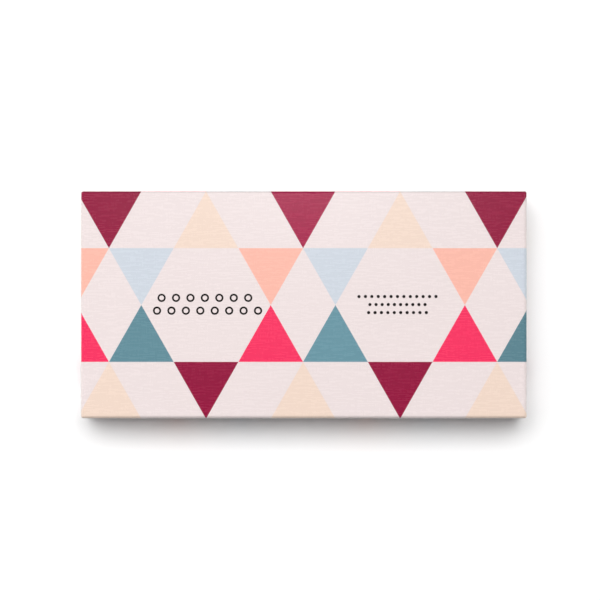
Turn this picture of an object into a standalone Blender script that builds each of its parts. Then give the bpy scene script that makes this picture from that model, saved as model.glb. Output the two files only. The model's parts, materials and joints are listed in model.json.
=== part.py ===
"""A Chinese checkers set, packed in its rigid two-piece box.

A telescoping lift-off lid covers a shallow tray. Both are greyboard, wrapped outside in printed
paper and lined inside with plain paper. The tray holds a slotted card insert with six wells, ten
turned wooden pawns in each well, a folded rules leaflet, and the star board, folded once.

Frame: metres, origin at the middle of the underside, +X along the box, +Z up. Everything is
modelled as stored, with the lid on.
"""

import math

import bmesh
import bpy

MM = 0.001

# Outer size of the closed box
BOX_LENGTH = 306.0 * MM
BOX_DEPTH = 156.0 * MM
BOX_HEIGHT = 40.0 * MM

# Walls: wrap paper, greyboard, liner paper, with a sliver of air between the solids
PAPER = 0.3 * MM
LINER = 0.25 * MM
GREYBOARD = 1.5 * MM
AIR = 0.2 * MM
WRAP_INNER = PAPER + AIR
BOARD_INNER = WRAP_INNER + GREYBOARD
WALL = BOARD_INNER + AIR + LINER

CORNER_RADIUS = 1.6 * MM
EDGE_RADIUS = 1.5 * MM
TIGHTEST_RADIUS = 0.2 * MM
ROUND_STEPS = 3
SHARP_ANGLE = math.radians(35)

LID_RIM_Z = 0.8 * MM
RIM_SETBACK = 0.3 * MM
LID_CLEARANCE = 0.5 * MM
TRAY_TOP_Z = 37.3 * MM

# Card insert: a collar inside the tray and three slotted dividers, six wells in all
CARD = 1.2 * MM
FIT = 0.3 * MM
INSERT_TOP_Z = 30.0 * MM
WELLS_ALONG = 3

# Folding board
BOARD_SIDE = 287.0 * MM
LEAF_CORE = 1.8 * MM
LEAF_PAPER = 0.25 * MM
LEAF_TOP_Z = 37.0 * MM
FOLD_GAP = 0.15 * MM
FOLD_EDGE = 0.3 * MM
HINGE_INNER_RADIUS = 0.45 * MM
HINGE_OUTER_RADIUS = 0.65 * MM
HINGE_STEPS = 6

# Folded rules leaflet, lying on the insert
LEAFLET_SIZE = (190.0 * MM, 128.0 * MM)
LEAFLET_THICKNESS = 0.6 * MM

# Pawns: a turned profile as (radius, height), from the foot to the crown
PAWN_SIDES = 10
PAWN_ROUGHNESS = 0.35
PAWN_PROFILE = (
    (6.2 * MM, 0.0 * MM),
    (6.2 * MM, 2.4 * MM),
    (4.9 * MM, 4.6 * MM),
    (2.6 * MM, 13.6 * MM),
    (4.1 * MM, 17.4 * MM),
    (3.7 * MM, 21.6 * MM),
    (1.6 * MM, 24.0 * MM),
)
PAWN_PITCH = 16.0 * MM
PAWN_WALL_GAP = 10.0 * MM
PAWN_JOIN = 0.1 * MM

# Where the pawns stand in their well, in pitches: along X from its middle, and rows off its wall
PAIR_PLACES = ((-1.5, 0), (0.4, 0), (-0.6, 1))
SINGLE_PLACES = ((2.0, 0), (-2.0, 1), (0.8, 1), (2.0, 1))

PAPER_ROUGHNESS = 0.75

COLOURS = {
    "blush": (0.75, 0.66, 0.65),
    "greyboard": (0.35, 0.32, 0.28),
    "liner_white": (0.80, 0.78, 0.76),
    "insert_card": (0.80, 0.76, 0.72),
    "board_print": (0.75, 0.66, 0.65),
    "board_back": (0.26, 0.01, 0.04),
    "hinge_linen": (0.62, 0.55, 0.50),
    "leaflet_paper": (0.86, 0.85, 0.83),
    "burgundy": (0.23, 0.02, 0.04),
    "pink": (0.90, 0.03, 0.12),
    "teal": (0.09, 0.24, 0.29),
    "sky": (0.52, 0.62, 0.75),
    "peach": (0.95, 0.40, 0.29),
    "cream": (0.90, 0.66, 0.46),
}

# Where each colour's well lies: column along +X, row along +Y
WELLS = {
    "sky": (-1, 1),
    "cream": (0, 1),
    "peach": (1, 1),
    "teal": (-1, -1),
    "burgundy": (0, -1),
    "pink": (1, -1),
}


def clear_scene():
    for obj in list(bpy.data.objects):
        bpy.data.objects.remove(obj, do_unlink=True)


def material(name, roughness=PAPER_ROUGHNESS):
    """A plain Principled material in one of the set's colours."""
    found = bpy.data.materials.get(name)
    if found:
        return found
    made = bpy.data.materials.new(name)
    made.use_nodes = True
    shader = made.node_tree.nodes["Principled BSDF"]
    shader.inputs["Base Color"].default_value = (*COLOURS[name], 1.0)
    shader.inputs["Roughness"].default_value = roughness
    made.diffuse_color = (*COLOURS[name], 1.0)
    return made


def add_object(name, mesh, colour, parent=None, location=(0.0, 0.0, 0.0)):
    obj = bpy.data.objects.new(name, mesh)
    if not mesh.materials:
        mesh.materials.append(material(colour))
    obj.location = location
    obj.parent = parent
    bpy.context.scene.collection.objects.link(obj)
    return obj


def add_axis(name, location=(0.0, 0.0, 0.0), parent=None):
    """An empty that stands for a moving body's joint."""
    empty = bpy.data.objects.new(name, None)
    empty.location = location
    empty.parent = parent
    bpy.context.scene.collection.objects.link(empty)
    return empty


def finish_mesh(name, bm):
    bmesh.ops.recalc_face_normals(bm, faces=bm.faces)
    mesh = bpy.data.meshes.new(name)
    bm.to_mesh(mesh)
    bm.free()
    mesh.shade_smooth()
    mesh.set_sharp_from_angle(angle=SHARP_ANGLE)
    return mesh


def loft_mesh(name, loops, closed=False):
    """A skin through loops of equal length, capped at both ends, or joined end to end."""
    bm = bmesh.new()
    rings = [[bm.verts.new(point) for point in loop] for loop in loops]
    pairs = list(zip(rings, rings[1:]))
    if closed:
        pairs.append((rings[-1], rings[0]))
    for lower, upper in pairs:
        for i in range(len(lower)):
            j = (i + 1) % len(lower)
            bm.faces.new((lower[i], lower[j], upper[j], upper[i]))
    if not closed:
        bm.faces.new(rings[0])
        bm.faces.new(rings[-1])
    return finish_mesh(name, bm)


def rounded_rectangle(half_x, half_y, z, radius=0.0):
    """One horizontal loop: four corners, each an arc of ROUND_STEPS steps, or four points."""
    if radius <= 0.0:
        return [(x * half_x, y * half_y, z) for x, y in ((1, 1), (-1, 1), (-1, -1), (1, -1))]
    loop = []
    for quarter in range(4):
        turn = quarter * math.pi / 2
        side_x = 1 if quarter in (0, 3) else -1
        side_y = 1 if quarter in (0, 1) else -1
        for step in range(ROUND_STEPS + 1):
            angle = turn + step / ROUND_STEPS * math.pi / 2
            loop.append((
                side_x * (half_x - radius) + radius * math.cos(angle),
                side_y * (half_y - radius) + radius * math.sin(angle),
                z,
            ))
    return loop


def slab(name, half_x, half_y, low, high, centre_y=0.0):
    """A flat sheet with square corners."""
    loops = [rounded_rectangle(half_x, half_y, z) for z in (low, high)]
    loops = [[(x, y + centre_y, z) for x, y, z in loop] for loop in loops]
    return loft_mesh(name, loops)


def box_loops(half_x, half_y, rim_z, closed_z, corner, edge):
    """Loops up one skin of an open box, from its rim over the rounded edge to its closed face."""
    loops = [rounded_rectangle(half_x, half_y, rim_z, corner)]
    if edge <= 0.0:
        return loops + [rounded_rectangle(half_x, half_y, closed_z, corner)]
    way = math.copysign(1.0, closed_z - rim_z)
    for step in range(ROUND_STEPS + 1):
        angle = step / ROUND_STEPS * math.pi / 2
        inset = edge * (1.0 - math.cos(angle))
        z = closed_z - way * edge * (1.0 - math.sin(angle))
        loops.append(rounded_rectangle(half_x - inset, half_y - inset, z, corner))
    return loops


def open_box(name, half_x, half_y, thickness, rim_z, closed_z, corner=0.0, edge=0.0):
    """A box with one open side, rim at rim_z and its outer closed face at closed_z."""
    way = math.copysign(1.0, closed_z - rim_z)
    inner_corner, inner_edge = (
        max(radius - thickness, TIGHTEST_RADIUS) if radius else 0.0 for radius in (corner, edge)
    )
    inner = box_loops(
        half_x - thickness, half_y - thickness, rim_z, closed_z - way * thickness,
        inner_corner, inner_edge,
    )
    outer = box_loops(half_x, half_y, rim_z, closed_z, corner, edge)
    return loft_mesh(name, inner[::-1] + outer)


def extruded_mesh(name, outline, low, high, place):
    """A prism: a closed 2-D outline drawn out from low to high, placed by a function."""
    loops = [[place(u, v, w) for u, v in outline] for w in (low, high)]
    return loft_mesh(name, loops)


def wrapped_shell(prefix, half_x, half_y, rim_z, closed_z, parent):
    """Wrap, greyboard and liner of the lid or the tray, one inside the other."""
    way = math.copysign(1.0, closed_z - rim_z)
    layers = (
        ("wrap", "blush", 0.0, PAPER, 0.0, CORNER_RADIUS, EDGE_RADIUS),
        (
            "board", "greyboard", WRAP_INNER, GREYBOARD, RIM_SETBACK,
            CORNER_RADIUS - PAPER, EDGE_RADIUS - PAPER,
        ),
        ("liner", "liner_white", BOARD_INNER + AIR, LINER, RIM_SETBACK, 0.0, 0.0),
    )
    for layer, colour, inset, thickness, setback, corner, edge in layers:
        name = f"{prefix}_{layer}"
        mesh = open_box(
            name, half_x - inset, half_y - inset, thickness,
            rim_z + way * setback, closed_z - way * inset, corner, edge,
        )
        add_object(name, mesh, colour, parent)


def add_lid(lid):
    wrapped_shell("lid", BOX_LENGTH / 2, BOX_DEPTH / 2, LID_RIM_Z, BOX_HEIGHT, lid)


def tray_outer():
    """Half sizes of the tray's outside, which slides inside the lid."""
    return BOX_LENGTH / 2 - WALL - LID_CLEARANCE, BOX_DEPTH / 2 - WALL - LID_CLEARANCE


def tray_inner():
    return tuple(half - WALL for half in tray_outer())


def add_tray():
    half_x, half_y = tray_outer()
    wrapped_shell("tray", half_x, half_y, TRAY_TOP_Z, 0.0, None)


def floor_z():
    """Where the contents stand: just above the tray's liner."""
    return WALL + AIR


def well_pitch():
    """Distance between the middles of two neighbouring wells, along X."""
    half_x = tray_inner()[0] - FIT - CARD
    return (2 * half_x + CARD) / WELLS_ALONG


def add_collar():
    """The insert's outer band, which lines the tray's four walls."""
    half_x, half_y = (half - FIT for half in tray_inner())
    loops = [
        rounded_rectangle(half_x, half_y, floor_z()),
        rounded_rectangle(half_x, half_y, INSERT_TOP_Z),
        rounded_rectangle(half_x - CARD, half_y - CARD, INSERT_TOP_Z),
        rounded_rectangle(half_x - CARD, half_y - CARD, floor_z()),
    ]
    add_object("insert_collar", loft_mesh("insert_collar", loops, closed=True), "insert_card")


def slotted_outline(half_length, slots, from_top):
    """A divider's side view: a long rectangle with half-height slots, from its top or foot."""
    low, high = floor_z(), INSERT_TOP_Z
    middle = (low + high) / 2
    open_edge, shut_edge = (high, low) if from_top else (low, high)
    depth = middle - FIT / 2 if from_top else middle + FIT / 2
    half_slot = CARD / 2 + FIT
    outline = [(-half_length, shut_edge), (-half_length, open_edge)]
    for slot in slots:
        outline += [
            (slot - half_slot, open_edge), (slot - half_slot, depth),
            (slot + half_slot, depth), (slot + half_slot, open_edge),
        ]
    outline += [(half_length, open_edge), (half_length, shut_edge)]
    return outline


def add_dividers():
    """One long divider, and two short ones that cross it in half-height slots."""
    half_x, half_y = (half - FIT - CARD - FIT for half in tray_inner())
    crossings = (-well_pitch() / 2, well_pitch() / 2)
    long_outline = slotted_outline(half_x, crossings, from_top=True)
    long_mesh = extruded_mesh(
        "long_divider", long_outline, -CARD / 2, CARD / 2, lambda u, v, w: (u, w, v)
    )
    add_object("long_divider", long_mesh, "insert_card")
    short_outline = slotted_outline(half_y, (0.0,), from_top=False)
    for name, x in zip(("cross_divider_left", "cross_divider_right"), crossings):
        mesh = extruded_mesh(
            name, short_outline, x - CARD / 2, x + CARD / 2, lambda u, v, w: (w, u, v)
        )
        add_object(name, mesh, "insert_card")


def fold_line():
    """Y and Z of the board's fold, in the plane where the two printed faces meet."""
    leaf = FOLD_GAP + 2 * (LEAF_PAPER + AIR) + LEAF_CORE
    return BOARD_SIDE / 4, LEAF_TOP_Z - leaf


def add_leaf(suffix, side, parent, origin):
    """One leaf: printed paper, greyboard core and back paper. side is -1 below, +1 above."""
    fold_y, fold_z = fold_line()
    half_y = (BOARD_SIDE / 2 - FOLD_EDGE) / 2
    centre_y = fold_y - FOLD_EDGE - half_y - origin[1]
    layers = (
        ("board_print", "board_print", LEAF_PAPER),
        ("board_leaf", "greyboard", LEAF_CORE),
        ("board_back", "board_back", LEAF_PAPER),
    )
    near = FOLD_GAP
    for layer, colour, thickness in layers:
        heights = sorted(fold_z - origin[2] + side * height for height in (near, near + thickness))
        name = f"{layer}_{suffix}"
        add_object(name, slab(name, BOARD_SIDE / 2, half_y, *heights, centre_y), colour, parent)
        near += thickness + AIR


def add_hinge_tape(parent, origin):
    """The linen strip that joins the leaves: a half-round gutter about the fold."""
    fold_y, fold_z = fold_line()
    outline = []
    for radius, way in ((HINGE_INNER_RADIUS, 1), (HINGE_OUTER_RADIUS, -1)):
        for step in range(HINGE_STEPS + 1):
            angle = way * (step / HINGE_STEPS - 0.5) * math.pi
            outline.append((
                fold_y - origin[1] + radius * math.cos(angle),
                fold_z - origin[2] + radius * math.sin(angle),
            ))
    half_length = BOARD_SIDE / 2
    mesh = extruded_mesh(
        "board_hinge_tape", outline, -half_length, half_length, lambda u, v, w: (w, u, v)
    )
    add_object("board_hinge_tape", mesh, "hinge_linen", parent)


def add_board(board, fold):
    """The lower leaf and the tape move with the board, the upper leaf turns about the fold."""
    add_leaf("lower", -1, board, (0.0, 0.0, 0.0))
    add_leaf("upper", 1, fold, (0.0, *fold_line()))
    add_hinge_tape(board, (0.0, 0.0, 0.0))


def add_leaflet(leaflet):
    half_x, half_y = (size / 2 for size in LEAFLET_SIZE)
    low = INSERT_TOP_Z + FIT
    mesh = slab("rules_leaflet", half_x, half_y, low, low + LEAFLET_THICKNESS)
    add_object("rules_leaflet", mesh, "leaflet_paper", leaflet)


def pawn_mesh():
    """A single pawn standing at the origin, with a flat side towards +X and -X."""
    loops = []
    for radius, height in PAWN_PROFILE:
        loop = []
        for side in range(PAWN_SIDES):
            angle = (side + 0.5) / PAWN_SIDES * 2 * math.pi
            loop.append((radius * math.cos(angle), radius * math.sin(angle), height))
        loops.append(loop)
    return loft_mesh("pawn", loops)


def pawn_pair_pitch():
    """Distance between two pawns whose feet touch: twice the flat's distance, less the join."""
    return 2 * PAWN_PROFILE[0][0] * math.cos(math.pi / PAWN_SIDES) - PAWN_JOIN


def pawn_pair_mesh(single):
    """Two pawns foot to foot, as one body: one is trimmed at the join and mirrored across it."""
    bm = bmesh.new()
    bm.from_mesh(single)
    bmesh.ops.translate(bm, verts=bm.verts, vec=(-pawn_pair_pitch() / 2, 0.0, 0.0))
    geometry = bm.verts[:] + bm.edges[:] + bm.faces[:]
    bmesh.ops.bisect_plane(
        bm, geom=geometry, plane_co=(0, 0, 0), plane_no=(1, 0, 0), clear_outer=True
    )
    geometry = bm.verts[:] + bm.edges[:] + bm.faces[:]
    bmesh.ops.mirror(bm, geom=geometry, axis="X", merge_dist=0.01 * MM)
    return finish_mesh("pawn_pair", bm)


def add_pawn_set(colour, column, row, parent, single, pair):
    """Ten pawns in two rows of five: three touching pairs and four single ones."""
    groups = (("pawn_pair", pair, PAIR_PLACES), ("pawn", single, SINGLE_PLACES))
    for kind, mesh, places in groups:
        for count, (along, rows) in enumerate(places, start=1):
            x = column * well_pitch() + along * PAWN_PITCH
            y = tray_inner()[1] - FIT - CARD - PAWN_WALL_GAP - rows * PAWN_PITCH
            add_object(f"{colour}_{kind}_{count}", mesh, colour, parent, (x, row * y, floor_z()))


def add_pawns():
    for colour, (column, row) in WELLS.items():
        single = pawn_mesh()
        pair = pawn_pair_mesh(single)
        for mesh in (single, pair):
            mesh.materials.append(material(colour, PAWN_ROUGHNESS))
        add_pawn_set(colour, column, row, add_axis(f"{colour}_pawns_axis"), single, pair)


def main():
    clear_scene()
    add_lid(add_axis("lid_axis"))
    add_tray()
    add_collar()
    add_dividers()
    board = add_axis("board_axis")
    fold = add_axis("board_fold_axis", (0.0, *fold_line()), board)
    add_board(board, fold)
    add_leaflet(add_axis("leaflet_axis"))
    add_pawns()


main()
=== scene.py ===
"""Looks of the boxed Chinese checkers set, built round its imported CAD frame.

The lid's wrap is one folded sheet of linen-embossed paper, cut along its own print. The tray, the
folding star board, the leaflet and sixty turned pawns follow, then the studio.
"""

import json
import math

import bmesh
import bpy
from mathutils import Matrix, Vector


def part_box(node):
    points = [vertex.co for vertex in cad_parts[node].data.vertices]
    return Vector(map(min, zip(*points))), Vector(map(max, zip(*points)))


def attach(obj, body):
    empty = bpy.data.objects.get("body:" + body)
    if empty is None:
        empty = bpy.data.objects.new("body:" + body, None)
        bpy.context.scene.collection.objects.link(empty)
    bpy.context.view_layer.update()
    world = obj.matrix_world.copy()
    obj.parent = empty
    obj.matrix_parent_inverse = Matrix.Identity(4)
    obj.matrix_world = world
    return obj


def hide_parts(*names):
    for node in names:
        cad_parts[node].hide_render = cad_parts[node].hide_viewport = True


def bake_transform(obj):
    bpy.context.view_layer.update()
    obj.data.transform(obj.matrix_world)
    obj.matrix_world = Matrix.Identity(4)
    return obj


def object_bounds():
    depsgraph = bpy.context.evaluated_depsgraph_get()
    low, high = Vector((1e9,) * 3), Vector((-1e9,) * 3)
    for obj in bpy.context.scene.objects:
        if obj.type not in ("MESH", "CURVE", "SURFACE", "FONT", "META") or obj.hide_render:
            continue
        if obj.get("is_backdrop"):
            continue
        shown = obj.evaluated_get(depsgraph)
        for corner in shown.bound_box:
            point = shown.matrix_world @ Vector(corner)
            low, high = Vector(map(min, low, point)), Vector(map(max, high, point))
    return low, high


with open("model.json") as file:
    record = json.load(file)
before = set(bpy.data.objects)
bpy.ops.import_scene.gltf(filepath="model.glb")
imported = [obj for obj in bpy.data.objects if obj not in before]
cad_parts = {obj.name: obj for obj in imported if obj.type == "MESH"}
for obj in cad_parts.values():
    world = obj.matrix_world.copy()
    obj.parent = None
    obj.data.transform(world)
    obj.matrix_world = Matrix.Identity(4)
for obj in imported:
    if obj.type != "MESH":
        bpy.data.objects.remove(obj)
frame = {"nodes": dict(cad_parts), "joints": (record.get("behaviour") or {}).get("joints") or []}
CAD_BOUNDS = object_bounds()

MM = 0.001


# ---------------------------------------------------------------- sizes, from the frame or chosen

LID_LOW, LID_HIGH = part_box("lid_wrap")
TRAY_LOW, TRAY_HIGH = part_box("tray_wrap")

# The wrap paper's folds. The turned-in paper stands a little proud of the liner.
EDGE_RADIUS = 2.2 * MM
EDGE_STEPS = 6
CORNER_RADIUS = 1.5 * MM
CORNER_STEPS = 4
RIM_RADIUS = 0.45 * MM
RIM_STEPS = 3
TURN_IN = 14.0 * MM
WALL_THICKNESS = 2.45 * MM
TURN_IN_PROUD = 0.08 * MM
PAPER_THICKNESS = 0.12 * MM
INK_HEIGHT = 0.03 * MM

# The printed lattice: rows of triangles fill the lid's depth, and it is printed a little off centre
LATTICE_ROWS = 4
TRIANGLES_ALONG = 6.894
ROW = (LID_HIGH.y - LID_LOW.y) / LATTICE_ROWS
TRIANGLE = (LID_HIGH.x - LID_LOW.x) / TRIANGLES_ALONG
PRINT_SHIFT = Vector((-0.56, -0.22)) * MM

# The star board: its centre is a hexagon of spots, and each point has four rows more
FOLD = next(Vector(j["pos_m"]) for j in frame["joints"] if j["name"] == "board_unfold")
SPOT_PITCH = 17.4 * MM
SPOT_RISE = SPOT_PITCH * math.sqrt(3) / 2
SPOT_RADIUS = 5.1 * MM
SPOT_RING = 0.45 * MM
LINE_WIDTH = 0.4 * MM
STAR_ROWS = 8
HEXAGON_APOTHEM = 4.5 * SPOT_RISE
HEXAGON_TURNS = [math.pi / 6 + k * math.pi / 3 for k in range(6)]
PRINT_STEP = 0.03 * MM
SPOT_STEP = 1.6 * PRINT_STEP

# Two points closer than this are one
TOUCHING = 1e-6


# ---------------------------------------------------------------- colours, linear

WHITE = (1.0, 1.0, 1.0, 1.0)
BLUSH = (0.752, 0.660, 0.654)
CREAM = (0.783, 0.619, 0.521)
BURGUNDY = (0.262, 0.004, 0.041)
SKY = (0.550, 0.597, 0.660)
PEACH = (0.850, 0.434, 0.350)
TEAL = (0.107, 0.234, 0.283)
PINK = (0.830, 0.025, 0.106)
INK = (0.008, 0.005, 0.005)

PRINT_COLOURS = {
    "blush": BLUSH, "cream": CREAM, "burgundy": BURGUNDY, "sky": SKY,
    "peach": PEACH, "teal": TEAL, "pink": PINK,
}
# Three triangles of the lid have painted light in their colour: the two paler ones near the middle
# hold a painted highlight, the deeper teal one at the right end holds painted shade
PAINTED_LIGHT_COLOURS = {
    "burgundy_pale": (0.332, 0.004, 0.053), "teal_pale": (0.124, 0.268, 0.325),
    "teal_deep": (0.094, 0.206, 0.249),
}


# ---------------------------------------------------------------- node materials

class Shader:
    """A material whose node tree is written one node at a time."""

    def __init__(self, name):
        self.material = bpy.data.materials.new(name)
        self.material.use_nodes = True
        self.nodes = self.material.node_tree.nodes
        self.links = self.material.node_tree.links
        self.principled = self.nodes["Principled BSDF"]
        self.place = self.nodes.new("ShaderNodeTexCoord").outputs["Object"]

    def connect(self, socket, value):
        """Links a socket to an input, or sets the input to a plain value."""
        if isinstance(value, bpy.types.NodeSocket):
            self.links.new(value, socket)
        else:
            socket.default_value = value

    def node(self, kind, inputs=(), **settings):
        """A new node, with its settings, and its inputs by name or number."""
        made = self.nodes.new(kind)
        for name, value in settings.items():
            setattr(made, name, value)
        for key, value in dict(inputs).items():
            self.connect(made.inputs[key], value)
        return made

    def math(self, operation, *values):
        """The result of one Math node, fed with sockets or plain numbers."""
        made = self.nodes.new("ShaderNodeMath")
        made.operation = operation
        for socket, value in zip(made.inputs, values):
            self.connect(socket, value)
        return made.outputs[0]

    def vector_math(self, operation, *values):
        """A Vector Math node, whose result is a vector or a Value."""
        return self.node("ShaderNodeVectorMath", enumerate(values), operation=operation)

    def scaled(self, x, y, z):
        """The object's own coordinates, stretched along each axis."""
        return self.vector_math("MULTIPLY", self.place, (x, y, z)).outputs[0]

    def noise(self, scale, detail=2.0, roughness=0.5, vector=None):
        """Smooth noise, 0 to 1, over the object's own coordinates or another vector."""
        inputs = {
            "Vector": vector or self.place, "Scale": scale,
            "Detail": detail, "Roughness": roughness,
        }
        return self.node("ShaderNodeTexNoise", inputs).outputs["Fac"]

    def spread(self, value, low, high):
        """A 0 to 1 value mapped to low to high."""
        made = self.node("ShaderNodeMapRange", {"Value": value, "To Min": low, "To Max": high})
        return made.outputs["Result"]

    def mixed(self, factor, a, b):
        """A colour between a and b."""
        made = self.node("ShaderNodeMix", data_type="RGBA")
        self.connect(made.inputs["Factor"], factor)
        self.connect(made.inputs["A"], a)
        self.connect(made.inputs["B"], b)
        return made.outputs["Result"]

    def dimmed(self, colour, factor):
        """A colour times a brightness."""
        inputs = {0: colour, "Scale": factor}
        return self.node("ShaderNodeVectorMath", inputs, operation="SCALE").outputs[0]

    def bump(self, height, distance):
        """A surface normal that rises by distance where height is 1."""
        inputs = {"Height": height, "Distance": distance, "Strength": 1.0}
        return self.node("ShaderNodeBump", inputs).outputs["Normal"]

    def finish(self, **sockets):
        """Sets the surface's own sockets, with _ for a space in their names."""
        for name, value in sockets.items():
            self.connect(self.principled.inputs[name.replace("_", " ")], value)
        return self.material


# Linen emboss: a plain weave whose crossings line up with the lid's own faces. Yarns along X show
# most. THREAD_WOBBLE is in yarns, and YARN_SPREAD sets neighbouring yarns' slubs apart.
THREAD_PITCH = 0.70 * MM
THREAD_WOBBLE = 0.15
WOBBLES_PER_METRE = 45.0
YARN_SPREAD = 1.73
YARN_SHARES = Vector((3.0, 1.0, 1.0))
SLUBS_PER_METRE = 130.0
# How deep the painted shade on the rounded long edges of the wrap is
EDGE_SHADE_DEPTH = 0.22


def linen_threads(shader):
    """Two sockets for an embossed plain weave on faces square to any axis.

    The first is the height of the crossings, about -1 to 1. The second is 0 to 1 and steps from
    yarn to yarn, drifting along each: its slubs.
    """
    wobble = shader.math("MULTIPLY", shader.noise(WOBBLES_PER_METRE), THREAD_WOBBLE)
    parts = shader.node("ShaderNodeSeparateXYZ", {0: shader.place})
    waves, counts = [], []
    for axis, face in zip("XYZ", LID_HIGH):
        pitch = face / round(face / THREAD_PITCH)
        count = shader.math("MULTIPLY_ADD", parts.outputs[axis], 1 / pitch, wobble)
        waves.append(shader.math("SINE", shader.math("MULTIPLY", count, math.pi)))
        counts.append(shader.math("MULTIPLY", shader.math("FLOOR", count), YARN_SPREAD))
    slubs = []
    for i, axis in enumerate("XYZ"):
        along = shader.math("MULTIPLY", parts.outputs[axis], SLUBS_PER_METRE)
        yarn = [along if j == i else counts[j] for j in range(3)]
        place = shader.node("ShaderNodeCombineXYZ", enumerate(yarn)).outputs[0]
        slubs.append(shader.noise(1.0, 1.0, 0.5, place))
    # yarns lie in the face, so those square to it drop out
    normal = shader.node("ShaderNodeTexCoord").outputs["Normal"]
    square_to = shader.vector_math("ABSOLUTE", normal).outputs[0]
    shares = shader.vector_math("MULTIPLY_ADD", square_to, -YARN_SHARES, YARN_SHARES).outputs[0]
    combined = shader.node("ShaderNodeCombineXYZ", enumerate(slubs)).outputs[0]
    weighed = shader.vector_math("DOT_PRODUCT", shares, combined)
    total = shader.vector_math("DOT_PRODUCT", shares, (1.0, 1.0, 1.0))
    slub = shader.math("DIVIDE", weighed.outputs["Value"], total.outputs["Value"])
    x, y, z = waves
    crossings = shader.math("MULTIPLY", z, shader.math("ADD", x, y))
    return shader.math("MULTIPLY_ADD", x, y, crossings), slub


def painted_edge_shade(shader):
    """A factor under 1 on the rounded long edges only: painted shade, deepest where the edge turns at
    45 degrees.
    """
    normal = shader.node("ShaderNodeTexCoord").outputs["Normal"]
    parts = shader.node("ShaderNodeSeparateXYZ", {0: normal})
    slope = shader.math("MULTIPLY", parts.outputs["Y"], parts.outputs["Z"])
    slope = shader.math("MULTIPLY", slope, slope)
    # at 45 degrees slope is 1/4, its most
    return shader.math("MULTIPLY_ADD", slope, -4 * EDGE_SHADE_DEPTH, 1.0)


def linen_paper(name, colour, roughness=0.27, depth=0.006 * MM, mottle=0.013, weave=0.007):
    """Printed wrap paper: flat ink on an embossed linen grain, with a satin varnish.

    mottle is how much the slubs of the linen show in the ink, weave how much lighter the crossings'
    crowns are painted, a painted sheen. The rounded long edges get painted shade.
    """
    shader = Shader(name)
    crossings, slubs = linen_threads(shader)
    clouds = shader.spread(shader.noise(14.0, 3.0, 0.6), 0.985, 1.015)
    shade = shader.math("ADD", shader.spread(slubs, -mottle, mottle), clouds)
    # painted sheen: the crowns of the crossings are lighter in colour
    shade = shader.math("MULTIPLY_ADD", crossings, weave, shade)
    # painted shade on the rounded long edges
    shade = shader.math("MULTIPLY", shade, painted_edge_shade(shader))
    return shader.finish(
        Base_Color=shader.dimmed(colour, shade),
        Roughness=shader.spread(slubs, roughness - 0.05, roughness + 0.05),
        Normal=shader.bump(shader.math("ADD", crossings, slubs), depth),
    )


def plain_paper(name, colour, roughness=0.8, fibre=0.03, depth=0.01 * MM):
    """Paper with no weave: fine fibres and faint clouding."""
    shader = Shader(name)
    fibres = shader.noise(1.0, 4.0, 0.65, shader.scaled(1500.0, 900.0, 1200.0))
    clouds = shader.noise(30.0, 3.0, 0.5)
    shade = shader.math("ADD", shader.spread(fibres, -fibre, fibre), shader.spread(clouds, 0.98, 1.02))
    return shader.finish(
        Base_Color=shader.dimmed(colour, shade),
        Roughness=shader.spread(clouds, roughness - 0.05, roughness + 0.05),
        Normal=shader.bump(fibres, depth),
    )


def greyboard(name):
    """Recycled board: grey-brown pulp with darker and lighter flecks, and a layered edge."""
    shader = Shader(name)
    flecks = shader.noise(900.0, 5.0, 0.7)
    clouds = shader.noise(60.0, 3.0, 0.6)
    layers = shader.noise(1.0, 2.0, 0.5, shader.scaled(40.0, 40.0, 5200.0))
    tone = shader.mixed(flecks, (0.25, 0.225, 0.195, 1.0), (0.44, 0.405, 0.355, 1.0))
    shade = shader.math("ADD", shader.spread(clouds, 0.93, 1.03), shader.spread(layers, -0.05, 0.05))
    return shader.finish(
        Base_Color=shader.dimmed(tone, shade),
        Roughness=shader.spread(flecks, 0.85, 0.97),
        Normal=shader.bump(shader.math("ADD", flecks, layers), 0.03 * MM),
    )


def card(name, colour):
    """Coated insert card: smooth and pale, with a faint long grain."""
    shader = Shader(name)
    grain = shader.noise(1.0, 3.0, 0.6, shader.scaled(500.0, 500.0, 2600.0))
    clouds = shader.noise(25.0, 3.0, 0.5)
    shade = shader.math("ADD", shader.spread(grain, -0.03, 0.03), shader.spread(clouds, 0.97, 1.02))
    return shader.finish(
        Base_Color=shader.dimmed(colour, shade),
        Roughness=shader.spread(grain, 0.58, 0.72),
        Normal=shader.bump(grain, 0.012 * MM),
    )


LATHE_PITCH = 0.42 * MM


def lacquered_wood(name, colour):
    """Turned beech under thin enamel: lathe rings and pores just show."""
    shader = Shader(name)
    grain = shader.noise(1.0, 4.0, 0.6, shader.scaled(900.0, 900.0, 120.0))
    parts = shader.node("ShaderNodeSeparateXYZ", {0: shader.place})
    rings = shader.math("MULTIPLY", parts.outputs["Z"], math.tau / LATHE_PITCH)
    rings = shader.math("SINE", rings)
    wet = shader.noise(180.0, 2.0)
    shade = shader.math("ADD", shader.spread(grain, -0.10, 0.07), shader.spread(wet, 0.97, 1.03))
    height = shader.math("ADD", shader.math("MULTIPLY", rings, 0.15), shader.math("ADD", grain, wet))
    return shader.finish(
        Base_Color=shader.dimmed(colour, shade),
        Roughness=shader.spread(grain, 0.26, 0.42),
        Normal=shader.bump(height, 0.02 * MM),
        Coat_Weight=0.35,
        Coat_Roughness=0.18,
    )


def ink(name, colour=INK):
    """Printed ink: duller than the varnished wrap, with fine specks."""
    shader = Shader(name)
    speck = shader.noise(1400.0, 3.0, 0.6)
    return shader.finish(
        Base_Color=shader.dimmed(colour, shader.spread(speck, 0.85, 1.2)),
        Roughness=shader.spread(speck, 0.45, 0.6),
        Specular_IOR_Level=0.3,
        Normal=shader.bump(speck, 0.006 * MM),
    )
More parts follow.
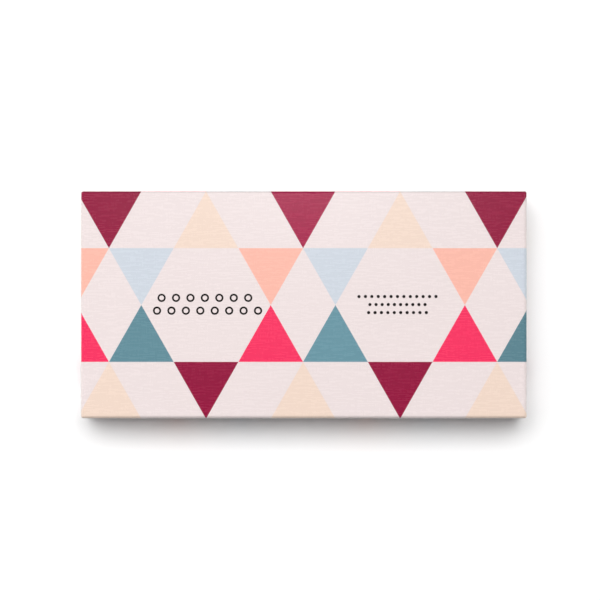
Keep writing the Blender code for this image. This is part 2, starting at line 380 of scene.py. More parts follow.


# How much the linen's slubs show through each ink, and how strong the painted sheen on the crossings'
# crowns is
PALE_GRAIN_AND_SHEEN = (0.006, 0.006)
GRAIN_AND_SHEEN_BY_INK = {"teal": (0.07, 0.04), "pink": (0.06, 0.04), "burgundy": (0.20, 0.20)}
PRINTED = {}
for name, colour in {**PRINT_COLOURS, **PAINTED_LIGHT_COLOURS}.items():
    mottle, weave = GRAIN_AND_SHEEN_BY_INK.get(name.split("_")[0], PALE_GRAIN_AND_SHEEN)
    PRINTED[name] = linen_paper(f"wrap_{name}", colour, mottle=mottle, weave=weave)
INK_PRINT = ink("ink_print")


def board_paper(name, colour):
    """The board's face paper: smooth and half glossy."""
    return plain_paper(f"board_{name}", colour, roughness=0.42, fibre=0.012)


BOARD_PRINTED = {name: board_paper(name, colour) for name, colour in PRINT_COLOURS.items()}
BOARD_PRINTED["ground"] = BOARD_PRINTED["blush"]
BOARD_PRINTED["centre"] = board_paper("centre", (0.86, 0.83, 0.80))


# ---------------------------------------------------------------- meshes and objects

def link_object(name, data):
    """A new object in the scene."""
    obj = bpy.data.objects.new(name, data)
    bpy.context.scene.collection.objects.link(obj)
    return obj


def make_object(name, mesh, body, materials, replaced=()):
    """A visible piece that rides a body and stands for the replaced CAD nodes."""
    obj = link_object(name, mesh)
    for material in materials:
        mesh.materials.append(material)
    if body:
        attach(obj, body)
    if replaced:
        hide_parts(*replaced)
    return obj


def mesh_from(bm, name, smooth=True):
    """Turns a bmesh into a mesh and frees it."""
    mesh = bpy.data.meshes.new(name)
    bm.to_mesh(mesh)
    bm.free()
    if smooth:
        mesh.shade_smooth()
    return mesh


def weight_normals(obj):
    """Flat faces stay flat beside their rounded edges."""
    made = obj.modifiers.new("weighted_normals", "WEIGHTED_NORMAL")
    made.weight = 80
    made.keep_sharp = True


# ---------------------------------------------------------------- the printed lattice

# Each star's six points: colour, middle of the base in triangle sides, base and apex in rows
STAR_POINTS = (
    ("cream", 0, 1, 2),
    ("burgundy", 0, -1, -2),
    ("sky", -1, 1, 0),
    ("peach", 1, 1, 0),
    ("teal", -1, -1, 0),
    ("pink", 1, -1, 0),
)
NEAREST_STARS = [(along, up) for up in (-1, 0, 1) for along in (-1, 0, 1)]
# Points with painted light: colour, and their star's middle in triangle sides and in star rows
PAINTED_LIGHT_POINTS = {
    ("burgundy", 0.0, 1): "burgundy_pale",
    ("teal", 1.5, 0): "teal_pale",
    ("teal", 4.5, 0): "teal_deep",
}


def in_point(x, y, across, base, apex):
    """Is (x, y), measured from a star's middle in sides and rows, in one of its points?"""
    low, high = sorted((base, apex))
    if not low < y < high:
        return False
    return abs(x - across) < abs(y - apex) / 2


def print_colour(u, v):
    """The colour printed at a place on the unfolded wrap, measured from the lid's middle."""
    x = (u - PRINT_SHIFT.x) / TRIANGLE
    y = (v - PRINT_SHIFT.y) / ROW
    row = round(y / 3)
    for along, up in NEAREST_STARS:
        star_row = row + up
        offset = 1.5 if star_row % 2 == 0 else 0.0
        star_x = 3 * (round((x - offset) / 3) + along) + offset
        for colour, across, base, apex in STAR_POINTS:
            if in_point(x - star_x, y - 3 * star_row, across, base, apex):
                # three points take a lighter or darker copy of their colour, holding painted highlight
                # and painted shade
                return PAINTED_LIGHT_POINTS.get((colour, star_x, star_row), colour)
    return "blush"


def cut_along(bm, point, normal, **settings):
    """Cuts a flat mesh along the line through a point, square to a normal."""
    geometry = bm.verts[:] + bm.edges[:] + bm.faces[:]
    bmesh.ops.bisect_plane(
        bm, geom=geometry, dist=TOUCHING / 10, plane_co=(*point, 0.0), plane_no=(*normal, 0.0),
        **settings,
    )


def cut_along_lattice(bm, reach):
    """Cuts a flat mesh along the three families of print lines, as far out as reach."""
    rows = math.ceil(reach / ROW)
    for k in range(-rows, rows + 1):
        cut_along(bm, (0.0, PRINT_SHIFT.y + k * ROW), (0.0, 1.0))
    slope = TRIANGLE / (2 * ROW)
    count = math.ceil(reach / TRIANGLE + rows / 2) + 1
    for j in range(-count, count + 1):
        start = (PRINT_SHIFT.x + (j + 0.5) * TRIANGLE, PRINT_SHIFT.y)
        for way in (-1, 1):
            cut_along(bm, start, (1.0, way * slope))


# ---------------------------------------------------------------- a folded paper skin

class FoldPath:
    """From a flat panel over its rounded edge, down the wall, round the rim and up inside.

    at(s) gives how far inward from the wall's outside, and how far below the panel, the paper is
    at a distance s from where the panel's flat part ends. Over the rounded edge s is measured
    level, so the print's lines run straight over it as seen from above.
    """

    def __init__(self, depth):
        self.depth = depth
        self.wall = depth - EDGE_RADIUS - RIM_RADIUS
        self.rim_arc = RIM_RADIUS * math.pi / 2
        self.inner = WALL_THICKNESS + TURN_IN_PROUD
        self.rim_flat = self.inner - 2 * RIM_RADIUS
        self.length = EDGE_RADIUS + self.wall + 2 * self.rim_arc + self.rim_flat + TURN_IN

    def at(self, s):
        """(inward, drop) at a distance s along the path."""
        if s <= EDGE_RADIUS:
            angle = math.asin(s / EDGE_RADIUS)
            return EDGE_RADIUS - s, EDGE_RADIUS * (1 - math.cos(angle))
        s -= EDGE_RADIUS
        if s <= self.wall:
            return 0.0, EDGE_RADIUS + s
        s -= self.wall
        if s <= self.rim_arc:
            angle = s / RIM_RADIUS
            drop = self.depth - RIM_RADIUS * (1 - math.sin(angle))
            return RIM_RADIUS * (1 - math.cos(angle)), drop
        s -= self.rim_arc
        if s <= self.rim_flat:
            return RIM_RADIUS + s, self.depth
        s -= self.rim_flat
        if s <= self.rim_arc:
            angle = s / RIM_RADIUS
            inward = self.inner - RIM_RADIUS * (1 - math.sin(angle))
            return inward, self.depth - RIM_RADIUS * (1 - math.cos(angle))
        s -= self.rim_arc
        return self.inner, self.depth - RIM_RADIUS - s

    def creases(self):
        """Distances at which the sheet needs a row of points."""
        turns = [step / EDGE_STEPS * math.pi / 2 for step in range(EDGE_STEPS + 1)]
        marks = [EDGE_RADIUS * math.sin(turn) for turn in turns]
        start = EDGE_RADIUS + self.wall
        marks += [start + step / RIM_STEPS * self.rim_arc for step in range(RIM_STEPS + 1)]
        start += self.rim_arc + self.rim_flat
        marks += [start + step / RIM_STEPS * self.rim_arc for step in range(RIM_STEPS + 1)]
        marks.append(self.length)
        return marks


def flat_grid(columns, rows):
    """A flat mesh of rectangles between the given x and y lines."""
    bm = bmesh.new()
    grid = [[bm.verts.new((x, y, 0.0)) for x in columns] for y in rows]
    for lower, upper in zip(grid, grid[1:]):
        for i in range(len(columns) - 1):
            bm.faces.new((lower[i], lower[i + 1], upper[i + 1], upper[i]))
    return bm


def colour_faces(bm, names, colour_at):
    """Gives each face the colour at its middle, by its place in names."""
    for face in bm.faces:
        middle = face.calc_center_median()
        face.material_index = names.index(colour_at(middle.x, middle.y))


def flap_position(along, s, side, halves, path, panel_z, way):
    """Where a point of one side flap goes: side is 0 to 3, for +X, +Y, -X and -Y.

    halves are the box's half length and half width. The corner's arc closes to a mitre where the
    paper is further in than the arc's own centre.
    """
    inward, drop = path.at(s)
    turn = side * math.pi / 2
    normal = Vector((math.cos(turn), math.sin(turn), 0.0))
    tangent = Vector((-math.sin(turn), math.cos(turn), 0.0))
    half_reach, half_side = (half - CORNER_RADIUS for half in flap_halves(side, halves))
    past = max(inward - CORNER_RADIUS, 0.0)
    beyond = max(abs(along) - half_side, 0.0) / CORNER_RADIUS
    held = math.copysign(min(abs(along), half_side - past), along)
    lean = normal * math.cos(beyond) + tangent * math.copysign(math.sin(beyond), along)
    corner = normal * (half_reach - past) + tangent * held
    place = corner + lean * max(CORNER_RADIUS - inward, 0.0)
    return Vector((place.x, place.y, panel_z - way * drop))


def flap_halves(side, halves):
    """The box's half size towards a side, and across it."""
    return (halves.x, halves.y) if side % 2 == 0 else (halves.y, halves.x)


def folded_skin(name, low, high, way, printed):
    """A wrapped box's paper: a flat panel with four flaps folded over the edges.

    way is 1 for a lid, whose panel is on top, and -1 for a tray.
    """
    halves = (high - low) / 2
    proud = INK_HEIGHT if way > 0 else 0.0
    panel_z = high.z - proud if way > 0 else low.z
    path = FoldPath(high.z - low.z - proud)
    names = list(PRINTED) if printed else ["blush"]
    colour_at = print_colour if printed else (lambda u, v: "blush")
    reach = max(halves.x, halves.y) + path.length
    whole = bmesh.new()

    def add_region(bm, position):
        """Prints a flat region of the sheet, folds it into place and joins it to the rest."""
        if printed:
            cut_along_lattice(bm, reach)
        colour_faces(bm, names, colour_at)
        for vert in bm.verts:
            vert.co = position(vert.co.x, vert.co.y)
        part = bpy.data.meshes.new("region")
        bm.to_mesh(part)
        bm.free()
        whole.from_mesh(part)
        bpy.data.meshes.remove(part)

    panel_x, panel_y = halves.x - EDGE_RADIUS, halves.y - EDGE_RADIUS
    add_region(
        flat_grid((-panel_x, panel_x), (-panel_y, panel_y)),
        lambda u, v: Vector((u, v, panel_z)),
    )
    for side in range(4):
        reach_out, reach_across = flap_halves(side, halves)
        quarter = CORNER_RADIUS * math.pi / 4
        half_side = reach_across - CORNER_RADIUS
        ends = [half_side + step / CORNER_STEPS * quarter for step in range(CORNER_STEPS + 1)]
        lines = [-end for end in reversed(ends)] + ends
        start = reach_out - EDGE_RADIUS
        sign = 1 if side < 2 else -1
        strips = sorted(sign * (start + s) for s in path.creases())

        # sides 0 and 2 run along Y on the unfolded sheet, 1 and 3 along X
        def position(u, v, side=side, start=start, sign=sign):
            out, cross = (u, v) if side % 2 == 0 else (v, u)
            s = max(sign * out - start, 0.0)
            along = cross * (sign if side % 2 == 0 else -sign)
            return flap_position(along, s, side, halves, path, panel_z, way)

        add_region(flat_grid(*((strips, lines) if side % 2 == 0 else (lines, strips))), position)

    bmesh.ops.remove_doubles(whole, verts=whole.verts, dist=2 * TOUCHING)
    bmesh.ops.dissolve_degenerate(whole, edges=whole.edges, dist=TOUCHING)
    if way < 0:
        bmesh.ops.reverse_faces(whole, faces=whole.faces)
    mesh = mesh_from(whole, name)
    return mesh, [PRINTED[colour] for colour in names]


def thicken(obj, thickness):
    """Grows paper inward from its outer face."""
    made = obj.modifiers.new("thickness", "SOLIDIFY")
    made.thickness = thickness
    made.offset = -1.0
    made.use_even_offset = False


def add_wraps():
    """The lid's printed wrap and the tray's plain one, each with the paper's thickness."""
    mesh, materials = folded_skin("lid_wrap_print", LID_LOW, LID_HIGH, 1, printed=True)
    lid = make_object("lid_wrap_print", mesh, "lid", materials, ("lid_wrap",))
    mesh, materials = folded_skin("tray_wrap_sheet", TRAY_LOW, TRAY_HIGH, -1, printed=False)
    tray = make_object(
        "tray_wrap_sheet", mesh, "tray", materials, ("tray_wrap",)
    )
    for obj in (lid, tray):
        thicken(obj, PAPER_THICKNESS)
        weight_normals(obj)


# ---------------------------------------------------------------- flat printed shapes

def circle_points(x, y, radius, sides):
    """Points round a circle."""
    turns = [i / sides * math.tau for i in range(sides)]
    return [(x + radius * math.cos(turn), y + radius * math.sin(turn)) for turn in turns]


def square_points(reach):
    """The corners of a square round the middle."""
    return [(reach, reach), (-reach, reach), (-reach, -reach), (reach, -reach)]


def add_patch(bm, points):
    """A filled outline."""
    bm.faces.new([bm.verts.new((x, y, 0.0)) for x, y in points])


def add_stroke(bm, start, end, width):
    """A straight line of the given width."""
    way = (end - start).normalized()
    across = Vector((-way.y, way.x)) * width / 2
    add_patch(bm, [start - across, end - across, end + across, start + across])


def add_ring(bm, x, y, radius, width, sides, material_index=0):
    """A flat ring inside a radius."""
    outer = [bm.verts.new((*point, 0.0)) for point in circle_points(x, y, radius, sides)]
    inner = [bm.verts.new((*point, 0.0)) for point in circle_points(x, y, radius - width, sides)]
    for i in range(sides):
        j = (i + 1) % sides
        face = bm.faces.new((outer[i], outer[j], inner[j], inner[i]))
        face.material_index = material_index


def raise_patches(bm, height):
    """Joins flat patches that touch, lifts them off their sheet and closes their sides."""
    bmesh.ops.remove_doubles(bm, verts=bm.verts, dist=TOUCHING)
    made = bmesh.ops.extrude_face_region(bm, geom=bm.faces[:])
    lifted = [item for item in made["geom"] if isinstance(item, bmesh.types.BMVert)]
    bmesh.ops.translate(bm, verts=lifted, vec=(0.0, 0.0, height))
    bmesh.ops.recalc_face_normals(bm, faces=bm.faces)


# ---------------------------------------------------------------- ink marks on the lid

MARK_SIDES = 28
RING_STROKE = 1.25 * MM
# Rows of plain rings and dots: middle x and y, count, pitch, radius and kind, in millimetres
MARK_ROWS = (
    (-67.9, 4.7, 7, 9.9, 2.85, "ring"),
    (-66.1, -4.1, 8, 9.9, 2.85, "ring"),
    (64.2, 5.6, 13, 4.4, 1.1, "dot"),
    (64.2, 0.1, 10, 4.2, 1.1, "dot"),
    (64.2, -5.4, 10, 4.4, 1.1, "dot"),
)


def add_lid_marks():
    """The rows of rings and dots, as raised ink on the lid's panel."""
    bm = bmesh.new()
    for x, y, count, pitch, radius, kind in MARK_ROWS:
        for i in range(count):
            place = (x + (i - (count - 1) / 2) * pitch) * MM, y * MM
            if kind == "ring":
                add_ring(bm, *place, radius * MM, RING_STROKE, MARK_SIDES)
            else:
                add_patch(bm, circle_points(*place, radius * MM, MARK_SIDES))
    raise_patches(bm, INK_HEIGHT)
    mesh = mesh_from(bm, "lid_ink_marks", smooth=False)
    mesh.transform(Matrix.Translation((0.0, 0.0, LID_HIGH.z - INK_HEIGHT)))
    make_object("lid_ink_marks", mesh, "lid", [INK_PRINT])


# ---------------------------------------------------------------- lid and tray insides

def paint_node(name, material):
    """Gives a CAD node that is shown as it is its material."""
    obj = frame["nodes"][name]
    if not obj.material_slots:
        obj.data.materials.append(material)
    for place in obj.material_slots:
        place.material = material


def paint_inner_nodes():
    """The boards, liners and card insert, which are shown as CAD has them."""
    board = greyboard("greyboard")
    liner = plain_paper("liner_paper", (0.80, 0.785, 0.765))
    insert = card("insert_card", (0.80, 0.755, 0.715))
    for name in ("lid_board", "tray_board"):
        paint_node(name, board)
    for name in ("lid_liner", "tray_liner"):
        paint_node(name, liner)
    for name in ("insert_collar", "long_divider", "cross_divider_left", "cross_divider_right"):
        paint_node(name, insert)


# ---------------------------------------------------------------- the folding star board

LEAVES = {"lower": ("board", -1), "upper": ("board_upper_leaf", 1)}
PRINT_MARGIN = 2.2 * MM
SHEET_THICKNESS = 0.2 * MM
SPOT_SIDES = 32
# The star's points, anticlockwise from the one up and to the right
POINT_COLOURS = ("peach", "cream", "sky", "teal", "burgundy", "pink")
BOARD_COLOURS = ("ground", "centre", *POINT_COLOURS)
CASING_ROUND = 0.45 * MM
CASING_STEPS = 3
FRAME_INSET = 4.0 * MM
FRAME_WIDTH = 0.7 * MM


def leaf_place(p, q, lift, side):
    """A point of the unfolded print, q beyond the fold, on its leaf as stored.

    lift is the height above the printed face. The upper leaf lies turned over on the lower one.
    """
    gap = abs(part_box("board_print_lower")[1].z - FOLD.z)
    return Vector((p, FOLD.y - abs(q), FOLD.z + side * (gap - lift)))


def star_board_colour(p, q):
    """The star board's ground, centre or point colour at a place on the unfolded board."""
    reaches = [p * math.cos(turn) + q * math.sin(turn) for turn in HEXAGON_TURNS]
    outside = [k for k, reach in enumerate(reaches) if reach > HEXAGON_APOTHEM]
    if not outside:
        return "centre"
    if len(outside) > 1:
        return "ground"
    return POINT_COLOURS[outside[0]]


def star_spots():
    """All 121 spots of the star, as (p, q)."""
    spots = []
    for row in range(-STAR_ROWS, STAR_ROWS + 1):
        for column in range(-2 * STAR_ROWS, 2 * STAR_ROWS + 1):
            if (column + row) % 2:
                continue
            p, q = column * SPOT_PITCH / 2, row * SPOT_RISE
            if star_board_colour(p, q) != "ground":
                spots.append((p, q))
    return spots


def half_of(bm, side):
    """Keeps the print on one side of the fold."""
    edge = abs(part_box("board_print_lower")[1].y - FOLD.y)
    cut_along(bm, (0.0, side * edge), (0.0, side), clear_inner=True)


def place_print(bm, side):
    """Moves unfolded print, with its height above the face as z, onto its leaf."""
    for vert in bm.verts:
        vert.co = leaf_place(*vert.co, side)
    bmesh.ops.recalc_face_normals(bm, faces=bm.faces)


def board_sheet(side, half_side):
    """One leaf's printed sheet, cut along the star's outline."""
    reach = half_side - PRINT_MARGIN
    bm = flat_grid((-reach, reach), (-reach, reach))
    for turn in HEXAGON_TURNS:
        normal = Vector((math.cos(turn), math.sin(turn)))
        cut_along(bm, normal * HEXAGON_APOTHEM, normal)
    half_of(bm, side)
    colour_faces(bm, BOARD_COLOURS, star_board_colour)
    bmesh.ops.translate(bm, verts=bm.verts, vec=(0.0, 0.0, -SHEET_THICKNESS))
    raise_patches(bm, SHEET_THICKNESS)
    place_print(bm, side)
    return bm


def board_lines(side, half_side):
    """Thin lines between neighbouring spots, and a frame line round the sheet."""
    bm = bmesh.new()
    spots = star_spots()
    steps = ((SPOT_PITCH, 0.0), (SPOT_PITCH / 2, SPOT_RISE), (-SPOT_PITCH / 2, SPOT_RISE))
    known = {(round(p / SPOT_PITCH * 2), round(q / SPOT_RISE)) for p, q in spots}
    for p, q in spots:
        for dp, dq in steps:
            key = (round((p + dp) / SPOT_PITCH * 2), round((q + dq) / SPOT_RISE))
            if key not in known:
                continue
            to_ring = Vector((dp, dq)).normalized() * SPOT_RADIUS
            add_stroke(
                bm, Vector((p, q)) + to_ring, Vector((p + dp, q + dq)) - to_ring, LINE_WIDTH
            )
    outer = square_points(half_side - PRINT_MARGIN - FRAME_INSET)
    inner = square_points(half_side - PRINT_MARGIN - FRAME_INSET - FRAME_WIDTH)
    for i in range(4):
        j = (i + 1) % 4
        add_patch(bm, [outer[i], outer[j], inner[j], inner[i]])
    half_of(bm, side)
    raise_patches(bm, PRINT_STEP)
    place_print(bm, side)
    return bm


def board_spots(side):
    """Filled spots, and a thin ring round each."""
    bm = bmesh.new()
    for p, q in star_spots():
        add_patch(bm, circle_points(p, q, SPOT_RADIUS - SPOT_RING, SPOT_SIDES))
        add_ring(bm, p, q, SPOT_RADIUS, SPOT_RING, SPOT_SIDES, material_index=1)
    half_of(bm, side)
    raise_patches(bm, SPOT_STEP)
    place_print(bm, side)
    return bm


def leaf_casing(name, suffix, body):
    """A leaf's core with its back paper drawn over the edges, as one soft-edged slab."""
    low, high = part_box(f"board_leaf_{suffix}")
    back_low, back_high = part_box(f"board_back_{suffix}")
    low = Vector(map(min, low, back_low))
    high = Vector(map(max, high, back_high))
    bm = bmesh.new()
    bmesh.ops.create_cube(bm, size=1.0)
    size, middle = high - low, (high + low) / 2
    for vert in bm.verts:
        vert.co = Vector(a * b for a, b in zip(vert.co, size)) + middle
    bmesh.ops.bevel(
        bm, geom=bm.edges[:], offset=CASING_ROUND, segments=CASING_STEPS,
        profile=0.5, affect="EDGES",
    )
    mesh = mesh_from(bm, name)
    paper = linen_paper(f"board_back_paper_{suffix}", BURGUNDY, roughness=0.45, mottle=0.06)
    replaced = (f"board_leaf_{suffix}", f"board_back_{suffix}")
    obj = make_object(name, mesh, body, [paper], replaced)
    weight_normals(obj)


def add_board():
    """Each leaf: its casing, printed sheet, lines and spots."""
    low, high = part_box("board_print_lower")
    half_side = (high.x - low.x) / 2
    papers = [BOARD_PRINTED[name] for name in BOARD_COLOURS]
    spot_inks = [BOARD_PRINTED["centre"], INK_PRINT]
    for suffix, (body, side) in LEAVES.items():
        leaf_casing(f"board_casing_{suffix}", suffix, body)
        for part, bm, materials, replaced in (
            ("sheet", board_sheet(side, half_side), papers, (f"board_print_{suffix}",)),
            ("lines", board_lines(side, half_side), [INK_PRINT], ()),
            ("spots", board_spots(side), spot_inks, ()),
        ):
            name = f"board_{part}_{suffix}"
            mesh = mesh_from(bm, name, smooth=False)
            make_object(name, mesh, body, materials, replaced)


def swept_sheet(profile, low_x, high_x, spans):
    """A sheet that follows a profile of (y, z) points, all along X."""
    bm = bmesh.new()
    rows = []
    for span in range(spans + 1):
        x = low_x + (high_x - low_x) * span / spans
        rows.append([bm.verts.new((x, y, z)) for y, z in profile])
    for before, after in zip(rows, rows[1:]):
        for i in range(len(profile) - 1):
            bm.faces.new((before[i], after[i], after[i + 1], before[i + 1]))
    return bm


# The strip stops a little short of the board's ends
TAPE_SHORT = 0.9 * MM
TAPE_THICKNESS = 0.1 * MM
TAPE_STEPS = 12
TAPE_SPANS = 96


def add_hinge_tape():
    """A linen strip glued to the leaves' fold edges, bending between them."""
    low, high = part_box("board_hinge_tape")
    radius = (high.z - low.z) / 2 - TAPE_THICKNESS
    edge = abs(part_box("board_leaf_lower")[1].y - FOLD.y)
    profile = [(FOLD.y - edge, FOLD.z - radius)]
    for step in range(TAPE_STEPS + 1):
        angle = (step / TAPE_STEPS - 0.5) * math.pi
        profile.append((FOLD.y + radius * math.cos(angle), FOLD.z + radius * math.sin(angle)))
    profile.append((FOLD.y - edge, FOLD.z + radius))
    bm = swept_sheet(profile, low.x + TAPE_SHORT, high.x - TAPE_SHORT, TAPE_SPANS)
    bmesh.ops.recalc_face_normals(bm, faces=bm.faces)
    mesh = mesh_from(bm, "board_hinge_linen")
    linen = linen_paper("hinge_linen", (0.62, 0.55, 0.50), roughness=0.85, mottle=0.09)
    obj = make_object(
        "board_hinge_linen", mesh, None, [linen], ("board_hinge_tape",)
    )
    thicken(obj, TAPE_THICKNESS)
    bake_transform(obj)


# ---------------------------------------------------------------- the rules leaflet

LEAFLET_LAYERS = 4
LEAFLET_PAPER = 0.09 * MM
LEAFLET_SPANS = 12
FLAT_STEPS = 8
BEND_STEPS = 5
LEAFLET_STAR = 34.0 * MM
LEAFLET_LINE = 1.1 * MM
LEAFLET_RULE = (88.0 * MM, 57.0 * MM)


def add_leaflet():
    """One sheet folded in four, its bends rounded, with a small star on the front."""
    low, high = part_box("rules_leaflet")
    pitch = (high.z - low.z - LEAFLET_PAPER - PRINT_STEP) / (LEAFLET_LAYERS - 1)
    half = (high.y - low.y) / 2 - pitch / 2
    profile = []
    for layer in range(LEAFLET_LAYERS):
        z = low.z + LEAFLET_PAPER / 2 + layer * pitch
        way = 1 if layer % 2 == 0 else -1
        for step in range(FLAT_STEPS + 1):
            profile.append((-way * half * (1 - 2 * step / FLAT_STEPS), z))
        if layer < LEAFLET_LAYERS - 1:
            for step in range(1, BEND_STEPS):
                angle = step / BEND_STEPS * math.pi - math.pi / 2
                y = way * (half + pitch / 2 * math.cos(angle))
                profile.append((y, z + pitch / 2 + pitch / 2 * math.sin(angle)))
    mesh = mesh_from(swept_sheet(profile, low.x, high.x, LEAFLET_SPANS), "rules_sheet")
    paper = plain_paper("leaflet_paper", (0.86, 0.85, 0.83), roughness=0.7)
    obj = make_object("rules_sheet", mesh, "leaflet", [paper], ("rules_leaflet",))
    made = obj.modifiers.new("thickness", "SOLIDIFY")
    made.thickness = LEAFLET_PAPER
    made.offset = 0.0
    add_leaflet_star(high.z - PRINT_STEP)


def add_leaflet_star(z):
    """Two crossed triangle outlines and two rules, printed on the leaflet's front."""
    bm = bmesh.new()
    half_x, half_y = LEAFLET_RULE
    for sign in (-1, 1):
        corners = []
        for k in range(3):
            turn = -sign * math.pi / 2 + k * math.tau / 3
            corners.append(Vector((math.cos(turn), math.sin(turn))) * LEAFLET_STAR)
        for a, b in zip(corners, corners[1:] + corners[:1]):
            add_stroke(bm, a, b, LEAFLET_LINE)
        y = sign * (half_y - LEAFLET_LINE / 4)
        add_stroke(bm, Vector((-half_x, y)), Vector((half_x, y)), LEAFLET_LINE / 2)
    raise_patches(bm, PRINT_STEP)
    mesh = mesh_from(bm, "rules_star", smooth=False)
    mesh.transform(Matrix.Translation((0.0, 0.0, z)))
    make_object("rules_star", mesh, "leaflet", [ink("leaflet_ink", BURGUNDY)])


# ---------------------------------------------------------------- pawns

PAWN_RADIUS = 5.8 * MM
PAWN_TURN_SIDES = 40
FOOT_RIM = 1.4 * MM
FOOT_ROUND = 0.45 * MM
FOOT_STEPS = 4
FOOT_TOP = 2.3 * MM
WAIST_RADIUS = 2.35 * MM
WAIST_Z = 13.0 * MM
WAIST_STEPS = 14
WAIST_SWEEP = 2.1
COLLAR_RADIUS = 3.35 * MM
COLLAR_HALF = 0.75 * MM
BEAD_SHARE = 0.85
BEAD_STEPS = 6
HEAD_RADIUS = 4.55 * MM
HEAD_START = -58
HEAD_STEPS = 16
PAWN_COLOURS = {
    "sky": (0.52, 0.62, 0.75), "cream": (0.90, 0.66, 0.46), "peach": (0.95, 0.40, 0.29),
    "teal": (0.09, 0.24, 0.29), "burgundy": (0.23, 0.012, 0.040), "pink": (0.90, 0.025, 0.12),
}


def arc_points(centre_r, centre_z, radius, start, end, steps):
    """An arc of the profile, from one angle to another in degrees."""
    points = []
    for step in range(steps + 1):
        angle = math.radians(start + (end - start) * step / steps)
        points.append((centre_r + radius * math.cos(angle), centre_z + radius * math.sin(angle)))
    return points


def pawn_outline(height):
    """The turned profile from under the foot to the crown, as (radius, height)."""
    outline = [(PAWN_RADIUS - FOOT_RIM, 0.0)]
    outline += arc_points(PAWN_RADIUS - FOOT_ROUND, FOOT_ROUND, FOOT_ROUND, -90, 0, FOOT_STEPS)
    shoulder = FOOT_TOP - FOOT_ROUND
    outline += arc_points(PAWN_RADIUS - FOOT_ROUND, shoulder, FOOT_ROUND, 0, 80, FOOT_STEPS)
    flare = PAWN_RADIUS - 2 * FOOT_ROUND
    for step in range(1, WAIST_STEPS + 1):
        t = step / WAIST_STEPS
        radius = WAIST_RADIUS + (flare - WAIST_RADIUS) * (1 - t) ** WAIST_SWEEP
        outline.append((radius, FOOT_TOP + (WAIST_Z - FOOT_TOP) * t))
    collar_z = WAIST_Z + COLLAR_HALF
    bead = COLLAR_HALF * BEAD_SHARE
    outline += arc_points(COLLAR_RADIUS - bead, collar_z, bead, -80, 80, BEAD_STEPS)
    outline += arc_points(0.0, height - HEAD_RADIUS, HEAD_RADIUS, HEAD_START, 90, HEAD_STEPS)
    return outline


def turned_mesh(name, outline):
    """A profile turned round Z, with a flat foot and a crown that closes to a point."""
    bm = bmesh.new()
    rings = []
    for radius, z in outline:
        if radius < 0.01 * MM:
            rings.append([bm.verts.new((0.0, 0.0, z))])
            continue
        rings.append([
            bm.verts.new((radius * math.cos(turn), radius * math.sin(turn), z))
            for turn in (i / PAWN_TURN_SIDES * math.tau for i in range(PAWN_TURN_SIDES))
        ])
    bm.faces.new(rings[0])
    for lower, upper in zip(rings, rings[1:]):
        for i in range(PAWN_TURN_SIDES):
            j = (i + 1) % PAWN_TURN_SIDES
            if len(upper) == 1:
                bm.faces.new((lower[i], lower[j], upper[0]))
            else:
                bm.faces.new((lower[i], lower[j], upper[j], upper[i]))
    bmesh.ops.recalc_face_normals(bm, faces=bm.faces)
    mesh = mesh_from(bm, name)
    mesh.set_sharp_from_angle(angle=math.radians(40))
    return mesh


def add_pawns():
    """A separate turned pawn for each of the sixty, two for each paired node."""
    low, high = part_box("sky_pawn_1")
    height, single_width = high.z - low.z, high.x - low.x
    outline = pawn_outline(height)
    for colour, paint in PAWN_COLOURS.items():
        material = lacquered_wood(f"{colour}_enamel", paint)
        mesh = turned_mesh(f"{colour}_pawn", outline)
        mesh.materials.append(material)
        for node in sorted(frame["nodes"]):
            if not node.startswith(f"{colour}_pawn_"):
                continue
            low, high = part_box(node)
            half_pitch = (high.x - low.x - single_width) / 2
            paired = half_pitch > PAWN_RADIUS
            for way in (-1, 1) if paired else (0,):
                suffix = {-1: "_left", 0: "_turned", 1: "_right"}[way]
                middle = (low + high) / 2
                obj = link_object(f"{node}{suffix}", mesh)
                obj.location = (middle.x + way * half_pitch, middle.y, low.z)
                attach(obj, f"{colour}_pawns")
                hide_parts(node)


# ---------------------------------------------------------------- studio and camera

# The camera looks straight down. VIEW_WIDTH is how much it sees across, at the lid's height.
CAMERA_HEIGHT = 1.5
VIEW_WIDTH = 411.54 * MM
CAMERA_OFFSET = (-2.67 * MM, 3.22 * MM)
SENSOR = 36.0

FLOOR_REACH = 12.0

# Three overlapping suns make one broad soft key: name, lean along X, share of its energy
SUNS = (("overhead_left", -0.40, 0.26), ("overhead", -0.06, 0.44), ("overhead_right", 0.30, 0.30))
SUN_BACK = 0.40
SUN_ENERGY = 3.36
SUN_ANGLE = math.radians(40.0)
SHEEN_PLACE = (0.0, 0.36, 1.54)
SHEEN_ENERGY = 1.9
SHEEN_SIZE = 0.12
PANEL_PLACE = (-1.1, 0.15, 0.95)
PANEL_ENERGY = 3.9
PANEL_SIZE = 1.0
SKY_FOOT = 0.5
SKY_TOP = 0.02


def add_camera():
    """A camera straight above the lid."""
    data = bpy.data.cameras.new("camera")
    data.sensor_width = SENSOR
    data.lens = SENSOR * CAMERA_HEIGHT / VIEW_WIDTH
    data.clip_start, data.clip_end = 0.01, 50.0
    camera = link_object("camera", data)
    camera.location = (*CAMERA_OFFSET, LID_HIGH.z + CAMERA_HEIGHT)
    bpy.context.scene.camera = camera


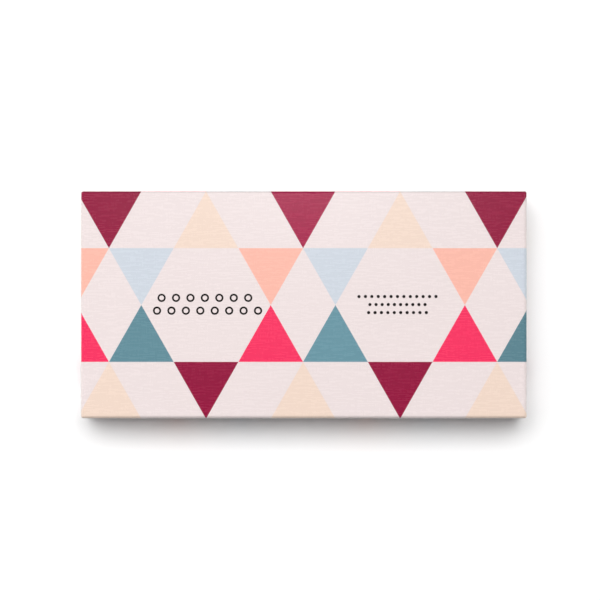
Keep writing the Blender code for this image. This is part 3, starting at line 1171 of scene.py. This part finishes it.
def add_floor():
    """A wide white floor."""
    bm = bmesh.new()
    bmesh.ops.create_grid(bm, x_segments=2, y_segments=2, size=FLOOR_REACH)
    floor = link_object("floor", mesh_from(bm, "floor", smooth=False))
    white = Shader("floor_white").finish(
        Base_Color=(0.95, 0.95, 0.95, 1.0), Roughness=0.9, Specular_IOR_Level=0.2
    )
    floor.data.materials.append(white)
    floor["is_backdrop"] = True


def add_light(name, kind, place, energy, **settings):
    """A light at a place, aimed at the middle of the floor."""
    data = bpy.data.lights.new(name, kind)
    data.energy = energy
    for key, value in settings.items():
        setattr(data, key, value)
    light = link_object(name, data)
    light.location = place
    light.rotation_euler = (-Vector(place)).to_track_quat("-Z", "Y").to_euler()
    return light


def add_sky():
    """A white sky, SKY_FOOT brighter at the horizon than its SKY_TOP overhead."""
    world = bpy.data.worlds.new("studio")
    bpy.context.scene.world = world
    world.use_nodes = True
    nodes, links = world.node_tree.nodes, world.node_tree.links
    parts = nodes.new("ShaderNodeSeparateXYZ")
    links.new(nodes.new("ShaderNodeTexCoord").outputs["Generated"], parts.inputs[0])
    socket = parts.outputs["Z"]
    # SKY_FOOT * (1 - z) ** 2 + SKY_TOP, with z the direction's height
    for operation, place, constants in (
        ("SUBTRACT", 1, {0: 1.0}),
        ("POWER", 0, {1: 2.0}),
        ("MULTIPLY_ADD", 0, {1: SKY_FOOT, 2: SKY_TOP}),
    ):
        made = nodes.new("ShaderNodeMath")
        made.operation = operation
        made.use_clamp = operation == "SUBTRACT"
        for index, value in constants.items():
            made.inputs[index].default_value = value
        links.new(socket, made.inputs[place])
        socket = made.outputs[0]
    background = nodes["Background"]
    background.inputs["Color"].default_value = WHITE
    links.new(socket, background.inputs["Strength"])


def add_studio():
    """A broad overhead light leaning back a little, a sheen, a panel on the left and a dim sky."""
    for name, across, share in SUNS:
        soft = add_light(
            name, "SUN", (across, SUN_BACK, 1.0), SUN_ENERGY * share, angle=SUN_ANGLE
        )
        soft.visible_glossy = False
    sheen = add_light("sheen", "AREA", SHEEN_PLACE, SHEEN_ENERGY, size=SHEEN_SIZE)
    sheen.visible_diffuse = False
    panel = add_light("left_panel", "AREA", PANEL_PLACE, PANEL_ENERGY, size=PANEL_SIZE)
    panel.visible_glossy = False
    add_sky()
    bpy.context.scene.view_settings.view_transform = "Standard"


def main():
    add_wraps()
    add_lid_marks()
    paint_inner_nodes()
    add_board()
    add_hinge_tape()
    add_leaflet()
    add_pawns()
    add_camera()
    add_floor()
    add_studio()
    boxes = {"cad": CAD_BOUNDS, "visual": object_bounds()}
    boxes = {name: [list(corner) for corner in pair] for name, pair in boxes.items()}


main()
